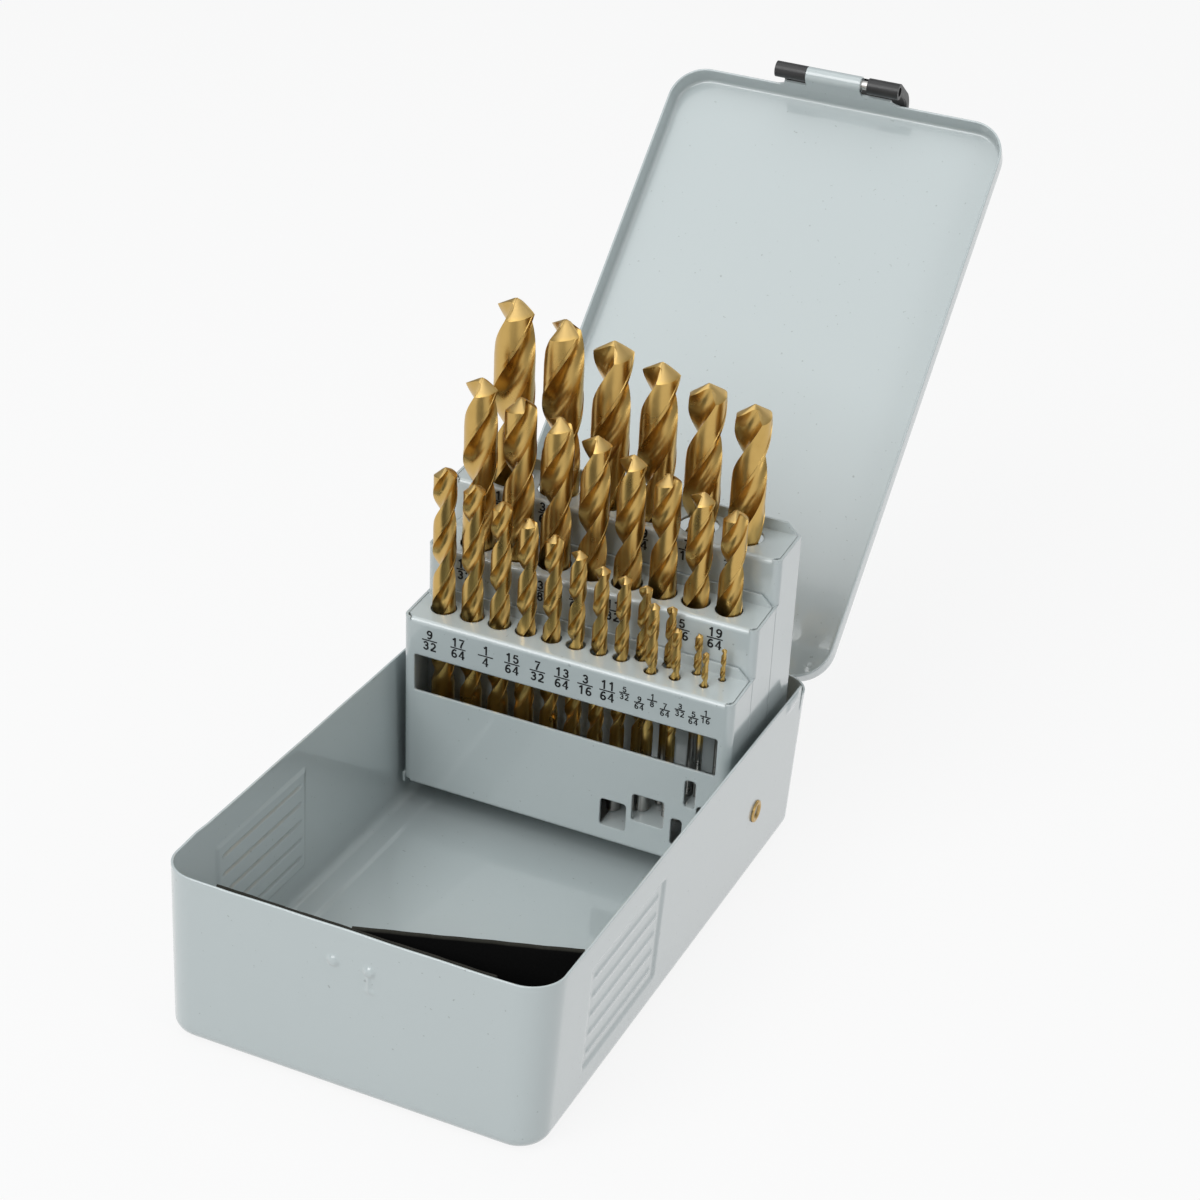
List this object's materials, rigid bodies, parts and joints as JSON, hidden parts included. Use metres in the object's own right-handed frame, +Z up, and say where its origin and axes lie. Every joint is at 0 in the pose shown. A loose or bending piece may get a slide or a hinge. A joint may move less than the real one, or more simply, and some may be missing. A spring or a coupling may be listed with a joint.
{
  "type": "drill bit case",
  "caption": "Hinged sheet-steel case, shown open, with a stepped rack that swings up and holds a graded set of twist drills.",
  "frame": {"origin": "middle of the tray's underside", "axes": "+X across the case to the right, +Y from the latch end to the lid hinge, +Z up"},
  "size_m": [0.1174, 0.3446, 0.1983],
  "materials": {
    "enamel": "gloss enamel",
    "gold_steel": "gold nitride coating, ground",
    "steel": "bright",
    "black_paint": "satin black",
    "brass": "polished",
    "foam": "matt closed-cell foam"
  },
  "bodies": {
    "tray": {"tray": "enamel", "hinge_wire": "steel", "pivot_rivet_left": "brass", "pivot_rivet_right": "brass", "pivot_spacer_left": "steel", "pivot_spacer_right": "steel", "front_foam_strip": "foam", "corner_foam_strip": "foam"},
    "lid": {"lid": "enamel"},
    "latch": {"latch_lever": "black_paint", "latch_pin": "steel"},
    "rack": {"rack_front_tier": "enamel", "rack_middle_tier": "enamel", "rack_back_tier": "enamel", "rack_floor": "enamel"},
    "drill_1_16": {"drill_1_16": "gold_steel"},
    "drill_5_64": {"drill_5_64": "gold_steel"},
    "drill_3_32": {"drill_3_32": "gold_steel"},
    "drill_7_64": {"drill_7_64": "gold_steel"},
    "drill_1_8": {"drill_1_8": "gold_steel"},
    "drill_9_64": {"drill_9_64": "gold_steel"},
    "drill_5_32": {"drill_5_32": "gold_steel"},
    "drill_11_64": {"drill_11_64": "gold_steel"},
    "drill_3_16": {"drill_3_16": "gold_steel"},
    "drill_13_64": {"drill_13_64": "gold_steel"},
    "drill_7_32": {"drill_7_32": "gold_steel"},
    "drill_15_64": {"drill_15_64": "gold_steel"},
    "drill_1_4": {"drill_1_4": "gold_steel"},
    "drill_17_64": {"drill_17_64": "gold_steel"},
    "drill_9_32": {"drill_9_32": "gold_steel"},
    "drill_19_64": {"drill_19_64": "gold_steel"},
    "drill_5_16": {"drill_5_16": "gold_steel"},
    "drill_21_64": {"drill_21_64": "gold_steel"},
    "drill_11_32": {"drill_11_32": "gold_steel"},
    "drill_23_64": {"drill_23_64": "gold_steel"},
    "drill_3_8": {"drill_3_8": "gold_steel"},
    "drill_25_64": {"drill_25_64": "gold_steel"},
    "drill_13_32": {"drill_13_32": "gold_steel"},
    "drill_27_64": {"drill_27_64": "gold_steel"},
    "drill_7_16": {"drill_7_16": "gold_steel"},
    "drill_29_64": {"drill_29_64": "gold_steel"},
    "drill_15_32": {"drill_15_32": "gold_steel"},
    "drill_31_64": {"drill_31_64": "gold_steel"},
    "drill_1_2": {"drill_1_2": "gold_steel"}
  },
  "joints": [
    {"name": "lid_hinge", "type": "hinge", "parent": "tray", "child": "lid", "pos_m": [0, 0.0983, 0.0491], "axis": [-1, 0, 0], "range_deg": [-133.8, 0]},
    {"name": "rack_fold", "type": "hinge", "parent": "tray", "child": "rack", "pos_m": [0, 0.0546, 0.0247], "axis": [-1, 0, 0], "range_deg": [-85.3, 0]},
    {"name": "latch_swing", "type": "hinge", "parent": "lid", "child": "latch", "pos_m": [0, 0.23354, 0.19561], "axis": [-1, 0, 0], "range_deg": [-166, 0]},
    {"name": "drill_1_16_lift", "type": "slide", "parent": "rack", "child": "drill_1_16", "axis": [0, -0.0819, 0.9966], "range_m": [0, 0.045]},
    {"name": "drill_5_64_lift", "type": "slide", "parent": "rack", "child": "drill_5_64", "axis": [0, -0.0819, 0.9966], "range_m": [0, 0.0473]},
    {"name": "drill_3_32_lift", "type": "slide", "parent": "rack", "child": "drill_3_32", "axis": [0, -0.0819, 0.9966], "range_m": [0, 0.0517]},
    {"name": "drill_7_64_lift", "type": "slide", "parent": "rack", "child": "drill_7_64", "axis": [0, -0.0819, 0.9966], "range_m": [0, 0.0577]},
    {"name": "drill_1_8_lift", "type": "slide", "parent": "rack", "child": "drill_1_8", "axis": [0, -0.0819, 0.9966], "range_m": [0, 0.0577]},
    {"name": "drill_9_64_lift", "type": "slide", "parent": "rack", "child": "drill_9_64", "axis": [0, -0.0819, 0.9966], "range_m": [0, 0.0577]},
    {"name": "drill_5_32_lift", "type": "slide", "parent": "rack", "child": "drill_5_32", "axis": [0, -0.0819, 0.9966], "range_m": [0, 0.0626]},
    {"name": "drill_11_64_lift", "type": "slide", "parent": "rack", "child": "drill_11_64", "axis": [0, -0.0819, 0.9966], "range_m": [0, 0.0626]},
    {"name": "drill_3_16_lift", "type": "slide", "parent": "rack", "child": "drill_3_16", "axis": [0, -0.0819, 0.9966], "range_m": [0, 0.0677]},
    {"name": "drill_13_64_lift", "type": "slide", "parent": "rack", "child": "drill_13_64", "axis": [0, -0.0819, 0.9966], "range_m": [0, 0.0677]},
    {"name": "drill_7_32_lift", "type": "slide", "parent": "rack", "child": "drill_7_32", "axis": [0, -0.0819, 0.9966], "range_m": [0, 0.0677]},
    {"name": "drill_15_64_lift", "type": "slide", "parent": "rack", "child": "drill_15_64", "axis": [0, -0.0819, 0.9966], "range_m": [0, 0.0677]},
    {"name": "drill_1_4_lift", "type": "slide", "parent": "rack", "child": "drill_1_4", "axis": [0, -0.0819, 0.9966], "range_m": [0, 0.0677]},
    {"name": "drill_17_64_lift", "type": "slide", "parent": "rack", "child": "drill_17_64", "axis": [0, -0.0819, 0.9966], "range_m": [0, 0.0677]},
    {"name": "drill_9_32_lift", "type": "slide", "parent": "rack", "child": "drill_9_32", "axis": [0, -0.0819, 0.9966], "range_m": [0, 0.0677]},
    {"name": "drill_19_64_lift", "type": "slide", "parent": "rack", "child": "drill_19_64", "axis": [0, -0.0819, 0.9966], "range_m": [0, 0.0857]},
    {"name": "drill_5_16_lift", "type": "slide", "parent": "rack", "child": "drill_5_16", "axis": [0, -0.0819, 0.9966], "range_m": [0, 0.0857]},
    {"name": "drill_21_64_lift", "type": "slide", "parent": "rack", "child": "drill_21_64", "axis": [0, -0.0819, 0.9966], "range_m": [0, 0.0857]},
    {"name": "drill_11_32_lift", "type": "slide", "parent": "rack", "child": "drill_11_32", "axis": [0, -0.0819, 0.9966], "range_m": [0, 0.0857]},
    {"name": "drill_23_64_lift", "type": "slide", "parent": "rack", "child": "drill_23_64", "axis": [0, -0.0819, 0.9966], "range_m": [0, 0.0857]},
    {"name": "drill_3_8_lift", "type": "slide", "parent": "rack", "child": "drill_3_8", "axis": [0, -0.0819, 0.9966], "range_m": [0, 0.0857]},
    {"name": "drill_25_64_lift", "type": "slide", "parent": "rack", "child": "drill_25_64", "axis": [0, -0.0819, 0.9966], "range_m": [0, 0.0857]},
    {"name": "drill_13_32_lift", "type": "slide", "parent": "rack", "child": "drill_13_32", "axis": [0, -0.0819, 0.9966], "range_m": [0, 0.0857]},
    {"name": "drill_27_64_lift", "type": "slide", "parent": "rack", "child": "drill_27_64", "axis": [0, -0.0819, 0.9966], "range_m": [0, 0.101]},
    {"name": "drill_7_16_lift", "type": "slide", "parent": "rack", "child": "drill_7_16", "axis": [0, -0.0819, 0.9966], "range_m": [0, 0.101]},
    {"name": "drill_29_64_lift", "type": "slide", "parent": "rack", "child": "drill_29_64", "axis": [0, -0.0819, 0.9966], "range_m": [0, 0.101]},
    {"name": "drill_15_32_lift", "type": "slide", "parent": "rack", "child": "drill_15_32", "axis": [0, -0.0819, 0.9966], "range_m": [0, 0.101]},
    {"name": "drill_31_64_lift", "type": "slide", "parent": "rack", "child": "drill_31_64", "axis": [0, -0.0819, 0.9966], "range_m": [0, 0.101]},
    {"name": "drill_1_2_lift", "type": "slide", "parent": "rack", "child": "drill_1_2", "axis": [0, -0.0819, 0.9966], "range_m": [0, 0.101]}
  ],
  "couplings": [
    {"joint": "rack_fold", "follows": "lid_hinge", "ratio": 0.6375}
  ]
}
